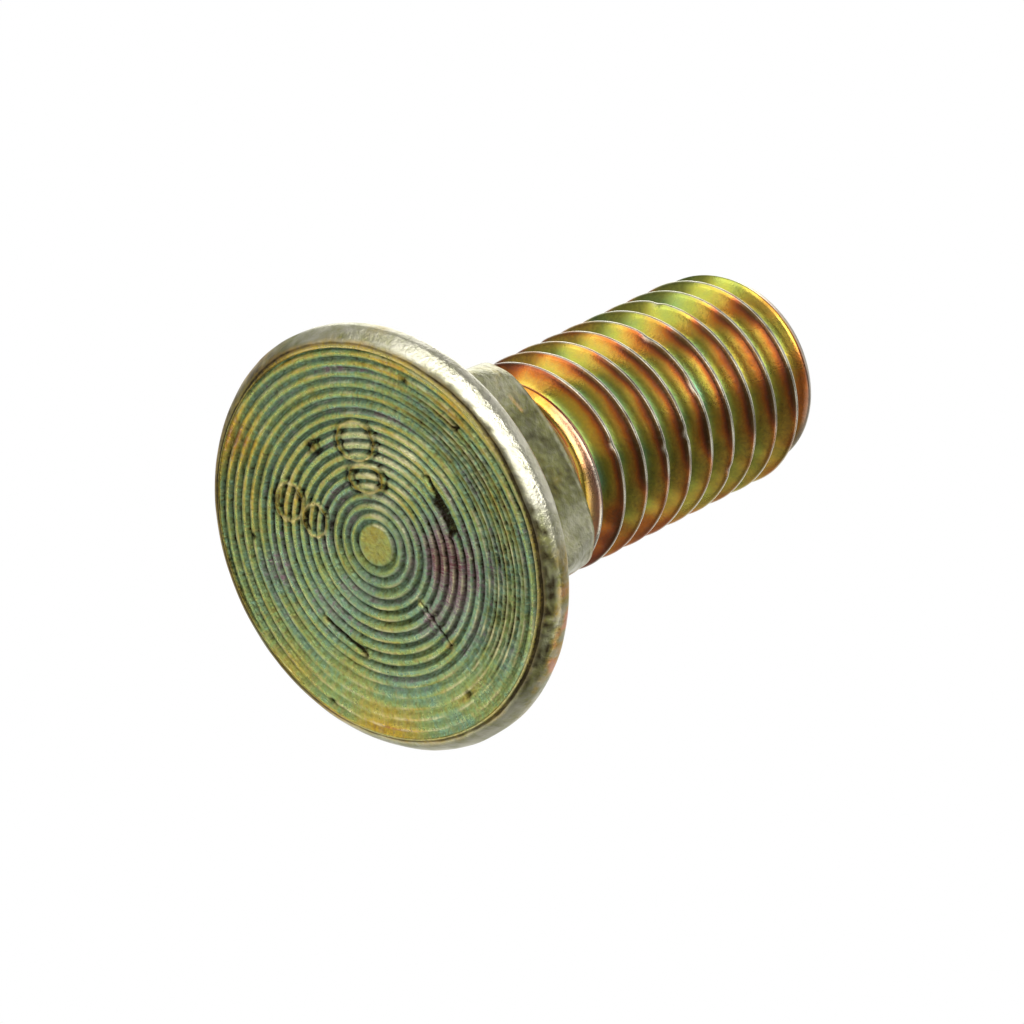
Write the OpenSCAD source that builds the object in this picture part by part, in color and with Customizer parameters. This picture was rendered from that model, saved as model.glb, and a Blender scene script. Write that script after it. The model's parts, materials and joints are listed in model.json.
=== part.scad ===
// Plow bolt: a flat countersunk head with a low square neck and a round shank, forged in one piece.
// It stands on the flat face of its head. The origin is the middle of that face and +Z runs to the tip.

/* [Head] */
// Diameter over the rim of the head
head_d = 15.2; // [13:0.1:20]
// Rounding where the flat face turns into the rim
face_round = 0.65; // [0.2:0.05:1]
// Straight height of the rim between its two roundings
rim_land = 0.25; // [0.1:0.05:1.5]
// Rounding where the rim turns into the cone
back_round = 0.3; // [0.1:0.05:0.6]
// Included angle of the countersunk cone
cone_angle = 90; // [75:1:100]

/* [Square neck] */
// Width of the neck across its flats
neck_flats = 7.8; // [7:0.1:9.5]
// Length of a flat along its middle, from the cone to the neck's end
neck_len = 1.7; // [1:0.05:4]
// Diameter over the turned corners at the neck's end
corner_d = 9.8; // [9.6:0.1:11]
// Lean of the corners towards the end, in degrees from the bolt's axis
corner_lean = 12; // [2:1:20]
// Rounding where the corners turn into the neck's end
corner_round = 0.3; // [0.1:0.05:0.5]
// Fall of the neck's end towards the corners, in degrees from square to the axis
end_fall = 28; // [10:1:40]

/* [Shank] */
// Diameter over the crests of the thread
thread_d = 7.8; // [6.5:0.05:8.5]
// Pitch of the thread, which sets the diameter of the blank that it is rolled on
pitch = 1.25; // [0.75:0.05:1.5]
// Length of plain blank between the neck's end and the thread's run-out
blank_len = 0.35; // [0.1:0.05:4]
// Overall length, from the flat face to the tip
bolt_len = 20.2; // [16:0.1:60]
// Height of the taper at the tip
tip_len = 0.8; // [0.5:0.05:2]
// Rounding of the edge at the tip
tip_round = 0.2; // [0.05:0.05:0.4]

/* [Hidden] */
// Faces round the bolt and steps along a rounding
$fn = 96;
ARC_STEPS = 8;
// Share of the pitch by which a rolled blank is smaller in diameter than the crests
BLANK_SHARE = 0.65;
// Slope of the thread's run-out, in degrees from square to the axis
RUNOUT_SLOPE = 45;

head_r = head_d / 2;
flat_r = neck_flats / 2;
corner_r = corner_d / 2;
thread_r = thread_d / 2;
blank_r = thread_r - BLANK_SHARE * pitch / 2;

cone_half = cone_angle / 2;
rim_h = face_round + rim_land + back_round * tan(cone_half / 2);
cone_apex_z = rim_h + head_r / tan(cone_half);
flat_start_z = rim_h + (head_r - flat_r) / tan(cone_half);
flat_end_z = flat_start_z + neck_len;

// Height at which the neck's end reaches a given radius
function neck_end_z(r) = flat_end_z + (flat_r - r) * tan(end_fall);

corner_end_z = neck_end_z(corner_r);
corner_root_r = corner_r + (corner_end_z - rim_h) * tan(corner_lean);
runout_z = neck_end_z(blank_r) + blank_len;
thread_z = runout_z + (thread_r - blank_r) * tan(RUNOUT_SLOPE);
tip_z = bolt_len - tip_len;

function towards(from, to) = (to - from) / norm(to - from);

// The points that round corner b by radius r, on the way from point a to point c
function rounding(a, b, c, r) =
    let (
        u = towards(b, a),
        v = towards(b, c),
        half = acos(u * v) / 2,
        centre = b + (u + v) / norm(u + v) * r / sin(half),
        start = b + u * r / tan(half) - centre,
        from = atan2(start[1], start[0]),
        sweep = (180 - 2 * half) * sign(u[1] * v[0] - u[0] * v[1])
    )
    [for (i = [0:ARC_STEPS]) centre + r * [cos(from + sweep * i / ARC_STEPS), sin(from + sweep * i / ARC_STEPS)]];

// Turns an outline of [radius, height, rounding] corners about the bolt's axis
module turned(outline) {
    n = len(outline);
    function place(i) = [outline[(i + n) % n][0], outline[(i + n) % n][1]];
    rotate_extrude()
        polygon([
            for (i = [0:n - 1])
                each outline[i][2] > 0 ? rounding(place(i - 1), place(i), place(i + 1), outline[i][2]) : [place(i)]
        ]);
}

// Flat face, rounded rim and countersunk cone, which runs on inside the neck and shank
module head() {
    turned([
        [0, 0, 0],
        [head_r, 0, face_round],
        [head_r, rim_h, back_round],
        [0, cone_apex_z, 0]
    ]);
}

// Four flats, with corners that lean in from the cone and an end that falls towards them
module square_neck() {
    intersection() {
        linear_extrude(bolt_len) square(neck_flats, center = true);
        turned([
            [0, rim_h, 0],
            [corner_root_r, rim_h, 0],
            [corner_r, corner_end_z, corner_round],
            [0, neck_end_z(0), 0]
        ]);
    }
}

// Plain blank, run-out, the thread's crests as one cylinder, and the tapered tip
module shank() {
    turned([
        [0, rim_h, 0],
        [blank_r, rim_h, 0],
        [blank_r, runout_z, 0],
        [thread_r, thread_z, 0],
        [thread_r, tip_z, 0],
        [blank_r, bolt_len, tip_round],
        [0, bolt_len, 0]
    ]);
}

module plow_bolt() {
    color("#A39A5C")
        union() {
            head();
            square_neck();
            shank();
        }
}

plow_bolt();
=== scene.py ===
"""Dresses the plow bolt in chromated zinc: ringed face, worn rim, square neck and rolled thread."""

import json
import logging
import math
from dataclasses import dataclass, field
from enum import IntEnum
from typing import Any, Sequence

import bmesh
import bpy
import numpy as np
from mathutils import Matrix, Vector, noise

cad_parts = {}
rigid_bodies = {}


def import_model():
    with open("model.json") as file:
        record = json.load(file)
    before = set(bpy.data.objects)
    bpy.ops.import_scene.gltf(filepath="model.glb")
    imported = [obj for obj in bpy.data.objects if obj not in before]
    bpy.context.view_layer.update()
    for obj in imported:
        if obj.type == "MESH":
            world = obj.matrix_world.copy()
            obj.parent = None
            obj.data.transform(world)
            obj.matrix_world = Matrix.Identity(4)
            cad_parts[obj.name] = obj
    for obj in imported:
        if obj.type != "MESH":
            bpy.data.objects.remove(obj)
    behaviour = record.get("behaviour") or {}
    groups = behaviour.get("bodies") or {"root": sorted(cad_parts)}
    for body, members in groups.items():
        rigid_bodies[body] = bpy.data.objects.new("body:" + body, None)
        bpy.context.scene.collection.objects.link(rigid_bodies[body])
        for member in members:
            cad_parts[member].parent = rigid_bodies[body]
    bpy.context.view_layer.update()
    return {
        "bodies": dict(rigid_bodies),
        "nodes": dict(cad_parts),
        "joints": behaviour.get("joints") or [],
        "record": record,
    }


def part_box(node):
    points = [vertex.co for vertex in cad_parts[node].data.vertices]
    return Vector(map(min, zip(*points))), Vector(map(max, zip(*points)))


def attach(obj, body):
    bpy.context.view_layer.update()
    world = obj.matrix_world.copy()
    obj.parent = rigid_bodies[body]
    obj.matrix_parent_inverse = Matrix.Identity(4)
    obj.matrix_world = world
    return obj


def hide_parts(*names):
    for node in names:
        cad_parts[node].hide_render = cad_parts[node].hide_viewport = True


LOG = logging.getLogger("plow_bolt")
NODE = "plow_bolt"
MM = 0.001

# Keeps a division by a length in millimetres finite
TINY = 0.001

# Numbers at many points, or one for all of them
Values = np.ndarray | float

# Azimuth of the photograph's camera about the bolt's axis: marks seen in the photograph are placed from it
VIEW_AZIMUTH = 3.0


class Zone(IntEnum):
    """The stretches of the bolt that differ in finish, in the order of their material slots."""

    FACE = 0
    FORGED = 1
    THREAD = 2


def srgb(code: str) -> tuple[float, float, float, float]:
    """Turns an sRGB hex colour into linear red, green, blue and alpha.

    Args:
        code: The colour as "#RRGGBB".

    Returns:
        The linear colour, opaque.
    """
    values = [int(code[i : i + 2], 16) / 255 for i in (1, 3, 5)]
    linear = [v / 12.92 if v <= 0.04045 else ((v + 0.055) / 1.055) ** 2.4 for v in values]
    return (linear[0], linear[1], linear[2], 1.0)


def add_node(
    tree: bpy.types.NodeTree,
    kind: str,
    settings: dict[str, Any] | None = None,
    inputs: dict[str | int, Any] | None = None,
) -> bpy.types.Node:
    """Adds a node, sets it and links its inputs.

    Args:
        tree: The node tree to add to.
        kind: Blender's name for the node type.
        settings: Attributes of the node and their values.
        inputs: Input sockets by name or place; a value is set, and a socket is linked.

    Returns:
        The new node.
    """
    node = tree.nodes.new(kind)
    for name, value in (settings or {}).items():
        setattr(node, name, value)
    for name, value in (inputs or {}).items():
        if isinstance(value, bpy.types.NodeSocket):
            tree.links.new(value, node.inputs[name])
        else:
            node.inputs[name].default_value = value
    return node


def vector_math(
    tree: bpy.types.NodeTree, operation: str, inputs: dict[str | int, Any]
) -> bpy.types.NodeSocket:
    """Works on vectors. The result of a length or a dot product is a number.

    Args:
        tree: The node tree to add to.
        operation: Blender's name for the operation.
        inputs: Input sockets by name or place.

    Returns:
        The result.
    """
    node = add_node(tree, "ShaderNodeVectorMath", {"operation": operation}, inputs)
    return node.outputs["Value" if operation in ("LENGTH", "DOT_PRODUCT") else "Vector"]


def multiply_add(
    tree: bpy.types.NodeTree, value: Any, by: Any, more: Any, clamp: bool
) -> bpy.types.NodeSocket:
    """A value times another, plus a third, and kept from 0 to 1 where asked."""
    settings = {"operation": "MULTIPLY_ADD", "use_clamp": clamp}
    return add_node(tree, "ShaderNodeMath", settings, {0: value, 1: by, 2: more}).outputs[0]


def mix_colour(tree: bpy.types.NodeTree, share: Any, first: Any, second: Any) -> bpy.types.NodeSocket:
    """A colour between two others."""
    inputs = {"Factor": share, 6: first, 7: second}
    return add_node(tree, "ShaderNodeMix", {"data_type": "RGBA"}, inputs).outputs[2]


def colour_ramp(
    tree: bpy.types.NodeTree,
    share: bpy.types.NodeSocket,
    stops: Sequence[tuple[float, tuple[float, float, float, float]]],
) -> bpy.types.NodeSocket:
    """Turns a share into a colour.

    Args:
        tree: The node tree to add to.
        share: The share, from 0 to 1.
        stops: Position and linear colour of each stop, in order.

    Returns:
        The colour.
    """
    ramp = add_node(tree, "ShaderNodeValToRGB", {}, {"Fac": share})
    elements = ramp.color_ramp.elements
    while len(elements) < len(stops):
        elements.new(0.5)
    for element, (position, colour) in zip(elements, stops):
        element.position = position
        element.color = colour
    return ramp.outputs["Color"]


def soft_min(a: np.ndarray, b: np.ndarray | float, blend: float) -> np.ndarray:
    """The lesser of two lengths, rounded over where they are closer than the blend.

    Args:
        a: First lengths.
        b: Second lengths.
        blend: Difference under which the two are rounded into each other.

    Returns:
        The blended lesser lengths.
    """
    share = np.clip(0.5 + 0.5 * (b - a) / blend, 0.0, 1.0)
    return b * (1 - share) + a * share - blend * share * (1 - share)


def soft_max(a: np.ndarray, b: np.ndarray | float, blend: float) -> np.ndarray:
    """The greater of two lengths, filleted where they are closer than the blend."""
    return -soft_min(-a, -b, blend)


def smooth(value: np.ndarray, low: float, high: float) -> np.ndarray:
    """A smooth step from 0 at low to 1 at high, which may be the lesser of the two."""
    t = np.clip((value - low) / (high - low), 0.0, 1.0)
    return t * t * (3 - 2 * t)


def bell(value: np.ndarray, width: float) -> np.ndarray:
    """A smooth bump: 1 at 0, and down to about a third at the width."""
    return np.exp(-((value / width) ** 2))


def toward(value: Values, target: Values, share: Values) -> Values:
    """A value moved by a share of its way to a target."""
    return value + (target - value) * share


def speckle(points: np.ndarray, size: float) -> np.ndarray:
    """Smooth noise in space.

    Args:
        points: Places in millimetres, one row each.
        size: Size of the noise's features in millimetres.

    Returns:
        A value from about -1 to 1 for each place.
    """
    return np.array([noise.noise(Vector(p)) for p in points / size])


def turn_gap(azimuth: np.ndarray, centre: float) -> np.ndarray:
    """Degrees from one azimuth to others, from -180 to 180."""
    return (azimuth - centre + 180.0) % 360.0 - 180.0


def polar(radius: np.ndarray, azimuth: np.ndarray, height: np.ndarray) -> np.ndarray:
    """Places in millimetres from their radius, azimuth in degrees and height."""
    angle = np.radians(azimuth)
    return np.stack([radius * np.cos(angle), radius * np.sin(angle), height], axis=-1)


def spot(azimuth: float, radius: float) -> np.ndarray:
    """The place on the plane of the face at an azimuth in degrees and a radius in millimetres."""
    return polar(np.array([radius]), np.array([azimuth]), np.zeros(1))[0]


def span(places: np.ndarray, middle: np.ndarray) -> np.ndarray:
    """Distances of places from a middle."""
    return np.linalg.norm(places - middle, axis=1)


def beside_line(places: np.ndarray, low: np.ndarray, high: np.ndarray) -> tuple[np.ndarray, np.ndarray]:
    """Where places lie beside a straight line.

    Args:
        places: Places in the line's plane, one row each.
        low: The line's one end.
        high: Its other end.

    Returns:
        The share of the way along the line, and the distance from it.
    """
    way = high - low
    share = np.clip((places - low) @ way / (way @ way), 0.0, 1.0)
    return share, span(places - share[:, None] * way, low)


@dataclass(frozen=True)
class Ramp:
    """A smooth step in a value.

    Args:
        none: Value at which it is 0.
        full: Value at which it is 1.
    """

    none: float
    full: float

    def at(self, value: np.ndarray) -> np.ndarray:
        """The step at values, from 0 to 1."""
        return smooth(value, self.none, self.full)


@dataclass(frozen=True)
class Band:
    """A stretch of a value that fades in and out again.

    Args:
        start: Value at which it starts.
        full: Value from which it is 1.
        last: Value up to which it is 1.
        end: Value at which it ends.
    """

    start: float
    full: float
    last: float
    end: float

    def at(self, value: np.ndarray) -> np.ndarray:
        """How far values lie in the stretch, from 0 to 1."""
        return smooth(value, self.start, self.full) * smooth(value, self.end, self.last)


@dataclass(frozen=True)
class Sector:
    """A stretch round the axis that fades out on both sides. Angles are in degrees.

    Args:
        azimuth: Azimuth of its middle.
        none: Angle from the middle at which it ends.
        full: Angle from the middle up to which it is 1.
    """

    azimuth: float
    none: float
    full: float

    def at(self, azimuth: np.ndarray) -> np.ndarray:
        """How far azimuths lie in the stretch, from 0 to 1."""
        return smooth(np.abs(turn_gap(azimuth, self.azimuth)), self.none, self.full)


@dataclass(frozen=True)
class Grain:
    """Noise of one size, in millimetres, and moved so that it differs from other noise.

    Args:
        size: Size of its features.
        shift: How far it is moved along each axis.
    """

    size: float
    shift: float = 0.0

    def at(self, places: np.ndarray) -> np.ndarray:
        """The noise at places, from about -1 to 1."""
        return speckle(places + self.shift, self.size)


@dataclass
class Skin:
    """Gathers points, what the finish needs to know at each of them, and the faces between them."""

    places: list[np.ndarray] = field(default_factory=list)
    traits: dict[str, list[np.ndarray]] = field(default_factory=lambda: {"film": [], "wear": [], "soil": []})
    faces: list[tuple[int, ...]] = field(default_factory=list)
    zones: list[Zone] = field(default_factory=list)
    count: int = 0

    def add(self, places: np.ndarray, film: np.ndarray, wear: np.ndarray, soil: np.ndarray) -> np.ndarray:
        """Adds points.

        Args:
            places: Places in millimetres, one row each.
            film: Thickness of the chromate film at each, from 0 to 1.
            wear: How far the film is rubbed off each, and how far painted highlights whiten it, from 0 to 1.
            soil: How far dark soil and painted shade cover each, from 0 to 1.

        Returns:
            The points' numbers.
        """
        self.places.append(places)
        for name, values in (("film", film), ("wear", wear), ("soil", soil)):
            self.traits[name].append(np.broadcast_to(values, (len(places),)).astype(float))
        numbers = np.arange(self.count, self.count + len(places))
        self.count += len(places)
        return numbers

    def face(self, corners: Sequence[int], zone: Zone) -> None:
        """Adds one face."""
        self.faces.append(tuple(int(c) for c in corners))
        self.zones.append(zone)

    def bridge(self, low: np.ndarray, high: np.ndarray, zone: Zone) -> None:
        """Joins two closed rings, of which the first may have twice as many points as the second.

        Args:
            low: The first ring's points.
            high: The second ring's points.
            zone: Finish of the faces between them.
        """
        n = len(high)
        step = len(low) // n
        for i in range(n):
            j = (i + 1) % n
            corners = [low[(i * step + s) % len(low)] for s in range(step + 1)]
            if step == 1:
                self.face([*corners, high[j], high[i]], zone)
            else:
                self.face([corners[0], corners[1], high[i]], zone)
                self.face([corners[1], corners[2], high[j], high[i]], zone)

    def fan(self, ring: np.ndarray, tip: int, zone: Zone) -> None:
        """Closes a ring with triangles to one point."""
        for i, corner in enumerate(ring):
            self.face([corner, ring[(i + 1) % len(ring)], tip], zone)

    def zip(self, first: list[tuple[float, int]], second: list[tuple[float, int]], zone: Zone) -> None:
        """Joins two neighbouring columns, row to like row, with triangles where one has a row more.

        Args:
            first: Row and point number of each point in the one column, in order.
            second: The same for its neighbour, with the same first and last rows.
            zone: Finish of the faces between them.
        """
        i = j = 0
        while i + 1 < len(first) or j + 1 < len(second):
            row_a = first[i + 1][0] if i + 1 < len(first) else math.inf
            row_b = second[j + 1][0] if j + 1 < len(second) else math.inf
            if i + 1 < len(first) and j + 1 < len(second) and row_a == row_b:
                self.face([first[i][1], second[j][1], second[j + 1][1], first[i + 1][1]], zone)
                i, j = i + 1, j + 1
            elif row_a < row_b:
                self.face([first[i][1], second[j][1], first[i + 1][1]], zone)
                i += 1
            else:
                self.face([first[i][1], second[j][1], second[j + 1][1]], zone)
                j += 1

    def mesh(self, name: str) -> bpy.types.Mesh:
        """Makes the mesh, in metres, with its traits as point attributes.

        Args:
            name: The mesh's name.

        Returns:
            The mesh, smooth shaded, with its normals outwards.
        """
        mesh = bpy.data.meshes.new(name)
        mesh.from_pydata((np.concatenate(self.places) * MM).tolist(), [], self.faces)
        mesh.polygons.foreach_set("material_index", np.array(self.zones, dtype=np.int32))
        mesh.polygons.foreach_set("use_smooth", np.ones(len(self.faces), dtype=bool))
        for trait, values in self.traits.items():
            layer = mesh.attributes.new(trait, "FLOAT", "POINT")
            layer.data.foreach_set("value", np.clip(np.concatenate(values), 0.0, 1.0).astype(np.float32))
        work = bmesh.new()
        work.from_mesh(mesh)
        bmesh.ops.recalc_face_normals(work, faces=work.faces)
        work.to_mesh(mesh)
        work.free()
        return mesh


@dataclass(frozen=True)
class Patch:
    """A field of colour on the face, where the chromate film is thicker or thinner.

    Args:
        azimuth: Degrees about the axis.
        radius: Distance from the axis in millimetres.
        reach: Radius of the field in millimetres.
        film: Film thickness in its middle, from 0 to 1.
    """

    azimuth: float
    radius: float
    reach: float
    film: float


@dataclass(frozen=True)
class Loop:
    """One oval of a raised strength class numeral on the face.

    Args:
        azimuth: Azimuth of its middle in degrees.
        radius: Distance of its middle from the axis in millimetres.
        across: Half its width round the axis in millimetres.
        along: Half its height along the radius in millimetres.
    """

    azimuth: float
    radius: float
    across: float
    along: float

    def slant(self, places: np.ndarray, azimuth: float) -> np.ndarray:
        """How far the way from the oval's middle to places lies along an azimuth, from 0 to 1."""
        offset = (places - spot(self.azimuth, self.radius))[:, :2]
        along = np.abs(offset @ spot(azimuth, 1.0)[:2])
        return along / np.maximum(np.linalg.norm(offset, axis=1), TINY)

    def reach(self, places: np.ndarray) -> np.ndarray:
        """Distance of places from the oval's middle, as a share of the oval's own radius that way."""
        out = spot(self.azimuth, 1.0)[:2]
        offset = places[:, :2] - self.radius * out
        return np.hypot(offset @ np.array([-out[1], out[0]]) / self.across, offset @ out / self.along)


@dataclass(frozen=True)
class Stroke:
    """A plain straight dent in the face. Lengths are in millimetres.

    Args:
        start: Azimuth in degrees and distance from the axis of its one end.
        end: The same for its other end.
        start_width: Half its width at its one end.
        end_width: The same at its other end.
        ragged: How far its edge wanders.
        ragged_size: Length of those wanderings.
    """

    start: tuple[float, float]
    end: tuple[float, float]
    start_width: float
    end_width: float
    ragged: float = 0.04
    ragged_size: float = 0.3

    def ends(self) -> list[np.ndarray]:
        """The places of its two ends on the face."""
        return [spot(*end)[:2] for end in (self.start, self.end)]

    def gap(self, places: np.ndarray) -> np.ndarray:
        """Distance in millimetres from the dent's edge to places on the face, less than 0 inside it."""
        share, away = beside_line(places[:, :2], *self.ends())
        width = toward(self.start_width, self.end_width, share)
        return away - width + self.ragged * speckle(places, self.ragged_size)


@dataclass
class RingedFace:
    """The head's flat face, with the rings that the forging punch left on it and a raised numeral.

    Sizes are in millimetres and angles in degrees. Sectors, ramps, bands and grains say where something lies
    on the face, and the methods weigh it. A spot is an azimuth and a distance from the axis.
    """

    edge_r: float
    columns: int = 448
    inner_r: float = 2.05
    edge_clear: float = 0.03
    disc_r: float = 0.83
    disc_blend: float = 0.25
    ring_pitch: float = 0.378
    ring_depth: float = 0.13
    ring_shift: float = 0.045
    shift_azimuth: float = 112.0
    land_z: float = 0.05
    ripple_depth: float = 0.012
    moat_depth: float = 0.03
    dent_depth: float = 0.14
    pit_depth: float = 0.10
    disc_rows: tuple[float, ...] = (0.25, 0.45)
    plain_rows: tuple[float, ...] = (-0.5, -0.27, -0.13, 0.0, 0.13, 0.27)
    close_rows: tuple[float, ...] = (-0.5, -0.34, -0.23, -0.12, 0.0, 0.12, 0.23, 0.34)
    close_band: tuple[float, float] = (2.1, 4.8)
    numeral_line: float = 0.06
    numeral: tuple[Loop, ...] = (
        Loop(225.3, 3.87, 0.70, 0.60),
        Loop(220.9, 2.67, 0.60, 0.50),
        Loop(293.2, 3.66, 0.80, 0.70),
        Loop(296.9, 2.34, 0.72, 0.50),
    )
    # The loops' lines carry a painted highlight where they face the top of the face
    loop_level: Ramp = Ramp(0.45, 0.9)
    loop_inside: Ramp = Ramp(0.95, 0.75)
    moat_gap: float = 0.13
    moat_width: float = 0.06
    dot_spot: tuple[float, float] = (263.3, 3.95)
    dot_size: float = 0.14
    dot_moat_gap: float = 0.25
    dot_moat_width: float = 0.09
    strokes: tuple[Stroke, ...] = (
        Stroke((-16.3, 3.82), (13.3, 3.62), 0.05, 0.20),
        Stroke((76.0, 2.55), (78.0, 4.30), 0.02, 0.03),
        Stroke((160.0, 4.00), (133.0, 4.25), 0.05, 0.06),
    )
    dent_wall: Ramp = Ramp(0.06, -0.03)
    dent_lip_gap: float = 0.12
    dent_lip_width: float = 0.06
    dent_end_r: float = 0.17
    pit_spots: tuple[tuple[float, float], ...] = (
        (84.7, 5.97),
        (144.3, 6.7),
        (318.0, 6.4),
        (205.0, 5.6),
        (341.0, 6.2),
    )
    pit_r: float = 0.11
    base_film: float = 0.34
    disc_film: float = 0.44
    groove_film: float = 0.16
    raised_film: float = 0.56
    patches: tuple[Patch, ...] = (
        Patch(32.0, 3.6, 2.4, 0.06),
        Patch(33.0, 3.0, 0.8, 0.01),
        Patch(75.0, 3.0, 1.1, 0.10),
        Patch(190.0, 5.0, 0.9, 0.10),
        Patch(160.0, 3.6, 0.9, 0.14),
        Patch(139.0, 2.4, 0.9, 0.16),
        Patch(298.0, 3.6, 1.4, 0.24),
        Patch(255.0, 2.0, 1.0, 0.22),
        Patch(157.0, 5.1, 1.3, 0.26),
        Patch(46.0, 5.9, 1.0, 0.32),
        Patch(8.0, 6.0, 1.4, 0.38),
        Patch(123.0, 6.7, 1.5, 0.66),
        Patch(312.0, 6.9, 1.2, 0.62),
        Patch(237.0, 6.8, 1.2, 0.64),
        Patch(336.0, 6.9, 0.9, 0.58),
        Patch(160.0, 6.7, 0.9, 0.52),
        Patch(297.0, 5.6, 1.5, 0.27),
        Patch(117.0, 4.6, 1.5, 0.22),
    )
    dull_spot: tuple[float, float] = (26.0, 3.5)
    dull_reach: float = 1.5
    busy: Sector = Sector(17.0, 85.0, 40.0)
    top: Sector = Sector(292.0, 80.0, 35.0)
    # A sector in which the crowns of the rings carry a painted glint
    glint: Sector = Sector(318.0, 26.0, 8.0)
    faint: Sector = Sector(114.0, 66.0, 28.0)
    low: Sector = Sector(114.0, 110.0, 50.0)
    outer_rings: Band = Band(4.4, 5.4, 6.2, 6.7)
    faint_rings: Ramp = Ramp(4.4, 5.8)
    glint_rings: Ramp = Ramp(5.0, 3.6)
    first_ring: Ramp = Ramp(-0.5, -0.25)
    fine_ring: Ramp = Ramp(0.55, 0.95)
    ridge: Ramp = Ramp(-0.1, 0.9)
    tinted: Ramp = Ramp(0.06, 0.24)
    brow_place: float = 0.72
    brow_width: float = 0.10
    crown_place: float = 0.62
    crown_width: float = 0.15
    side_width: float = 0.35
    tears: Grain = Grain(0.25)
    tears_r: float = 8.0
    tears_step: float = 0.7
    tones: Grain = Grain(0.8)
    tones_r: float = 1.1
    tones_step: float = 0.9
    uneven: Grain = Grain(1.7)
    ripple: Grain = Grain(0.5)
    broken: Grain = Grain(0.45, 3.0)
    bright: Grain = Grain(0.7, 4.0)
    gilt: Grain = Grain(1.3, 5.0)
    clouds: Grain = Grain(2.2, 9.0)
    grit: Grain = Grain(0.16, 11.0)

    def azimuths(self) -> np.ndarray:
        """Azimuths of the columns."""
        return np.arange(self.columns) * 360.0 / self.columns

    def stretch(self, azimuth: np.ndarray) -> np.ndarray:
        """Share by which the rings, which aren't quite concentric, are nearer the axis at an azimuth."""
        return 1.0 - self.ring_shift * np.cos(np.radians(azimuth - self.shift_azimuth))

    def reaches(self) -> list[float]:
        """Distances of the rows from the axis, before the rings' shift."""
        rows = list(self.disc_rows)
        for k in range(int(self.edge_r / self.ring_pitch) + 2):
            middle = self.disc_r + k * self.ring_pitch
            close = self.close_band[0] < middle < self.close_band[1]
            shares = self.close_rows if close else self.plain_rows
            rows += [middle + share * self.ring_pitch for share in shares]
        return rows

    def along_rings(
        self, grain: Grain, radius: float, step: float, azimuth: np.ndarray, ring: np.ndarray
    ) -> np.ndarray:
        """Noise that runs along each ring and differs from ring to ring.

        Args:
            grain: The noise.
            radius: Radius in millimetres at which it is drawn, which sets its length along a ring.
            step: How far apart in it two rings lie, in millimetres.
            azimuth: Azimuths in degrees.
            ring: Number of rings out from the disc, with a fraction.

        Returns:
            A value from about -1 to 1 for each azimuth and ring.
        """
        return grain.at(polar(np.full_like(ring, radius), azimuth, step * np.round(ring)))

    def raised(self, places: np.ndarray) -> tuple[np.ndarray, ...]:
        """How far the numeral lifts the face.

        Args:
            places: Places on the face in millimetres.

        Returns:
            The share of the full height on the lines, their share with a painted highlight, the moat beside
            them, which carries painted shade, and the ovals' inside.
        """
        gap = span(places, spot(*self.dot_spot))
        lift = np.exp(-((gap / self.dot_size) ** 4))
        moat = bell(gap - self.dot_moat_gap, self.dot_moat_width)
        inside = np.zeros(len(places))
        pale = np.zeros(len(places))
        for loop in self.numeral:
            reach = loop.reach(places)
            # A painted highlight on the stretches of line that face the top of the face, and painted shade
            # in the moat on their sides
            level = self.loop_level.at(loop.slant(places, self.top.azimuth))
            gap = (reach - 1.0) * min(loop.across, loop.along)
            line = bell(gap, self.numeral_line)
            ditch = bell(np.abs(gap) - self.moat_gap, self.moat_width)
            lift = np.maximum(lift, line)
            pale = np.maximum(pale, line * level)
            moat = np.maximum(moat, ditch * (1 - 0.7 * level))
            inside = np.maximum(inside, self.loop_inside.at(reach))
        return lift, pale, moat * (1 - lift), inside

    def pressed(self, places: np.ndarray) -> tuple[np.ndarray, ...]:
        """The dents' floors, the lips beside them and their rubbed ends with painted glints, each from 0 to
        1.
        """
        press = np.zeros(len(places))
        lip = np.zeros(len(places))
        tips = np.zeros(len(places))
        for stroke in self.strokes:
            gap = stroke.gap(places)
            press = np.maximum(press, self.dent_wall.at(gap))
            lip = np.maximum(lip, bell(gap - self.dent_lip_gap, self.dent_lip_width))
            for end in stroke.ends():
                tips = np.maximum(tips, bell(span(places[:, :2], end), self.dent_end_r))
        return press, lip * (1 - press), tips

    def pitted(self, places: np.ndarray) -> np.ndarray:
        """The small pits, from 0 to 1."""
        return np.max([bell(span(places, spot(*pit)), self.pit_r) for pit in self.pit_spots], axis=0)

    def surface(self, radius: np.ndarray, azimuth: np.ndarray) -> tuple[np.ndarray, ...]:
        """The face's height and finish.

        Args:
            radius: Distances from the axis in millimetres.
            azimuth: Azimuths in degrees.

        Returns:
            Places, film, wear and soil.
        """
        flat = polar(radius, azimuth, np.zeros_like(radius))
        lift, pale, moat, inside = self.raised(flat)
        press, lip, tips = self.pressed(flat)
        pit = self.pitted(flat)
        grit = self.grit.at(flat)
        bright = np.clip(0.3 + 1.2 * self.bright.at(flat), 0, 1)

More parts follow.
